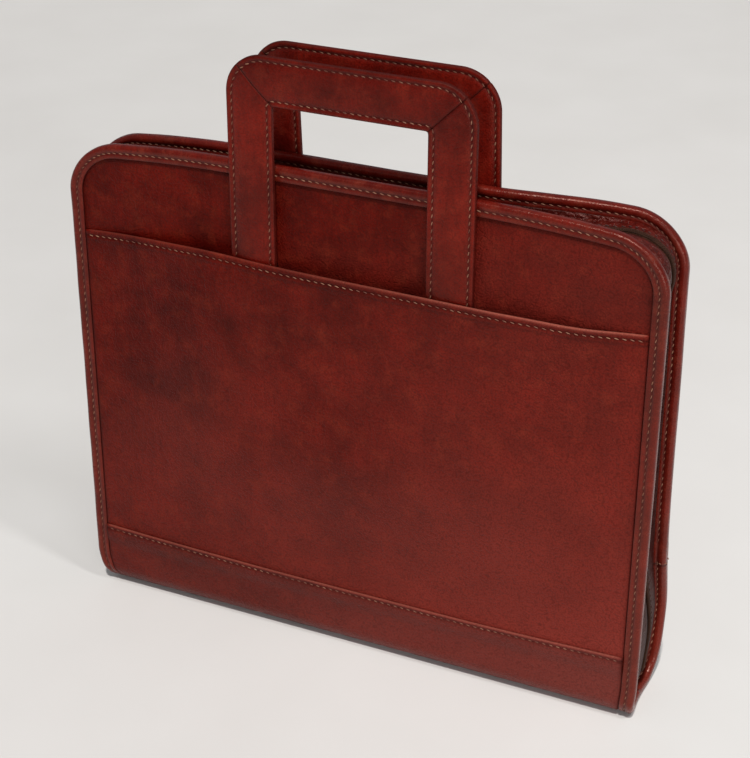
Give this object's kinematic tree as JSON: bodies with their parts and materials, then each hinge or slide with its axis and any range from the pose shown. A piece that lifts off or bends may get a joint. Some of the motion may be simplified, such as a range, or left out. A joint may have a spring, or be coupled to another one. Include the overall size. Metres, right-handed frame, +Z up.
{
  "type": "leather document case",
  "caption": "Slim upright leather document case with a zip round its edge, an open pocket on each cover and flat strap handles that slide down into the pockets",
  "frame": {"origin": "on the ground at the middle of the flat base, under the middle of the front and back covers", "axes": "+X along the case to its right end as seen from the front, +Y from the front cover to the back cover, +Z up"},
  "size_m": [0.37, 0.0644, 0.3802],
  "materials": {
    "cover_leather": "semi-gloss, softly mottled red brown",
    "binding_leather": "semi-gloss, a little more orange",
    "handle_leather": "semi-gloss with stitched edges",
    "gusset_leather": "thin crinkled purple red",
    "zip_cloth": "dark brown woven tape",
    "zip_metal": "dark aged metal"
  },
  "bodies": {
    "case": {"cover_wrap": "cover_leather", "front_pocket": "cover_leather", "back_pocket": "cover_leather", "base_strip": "cover_leather", "edge_binding": "binding_leather", "front_gusset": "gusset_leather", "back_gusset": "gusset_leather", "zip_tape_front": "zip_cloth", "zip_tape_back": "zip_cloth", "zip_coil": "zip_cloth", "zip_slider": "zip_metal"},
    "front_handle": {"front_handle_grip": "handle_leather", "front_handle_leg_left": "handle_leather", "front_handle_leg_right": "handle_leather"},
    "back_handle": {"back_handle_grip": "handle_leather", "back_handle_leg_left": "handle_leather", "back_handle_leg_right": "handle_leather"}
  },
  "joints": [
    {"name": "front_handle_slide", "type": "slide", "parent": "case", "child": "front_handle", "axis": [0, 0.0389, 0.9992], "range_m": [-0.065, 0]},
    {"name": "back_handle_slide", "type": "slide", "parent": "case", "child": "back_handle", "axis": [0, -0.0389, 0.9992], "range_m": [-0.065, 0]}
  ]
}
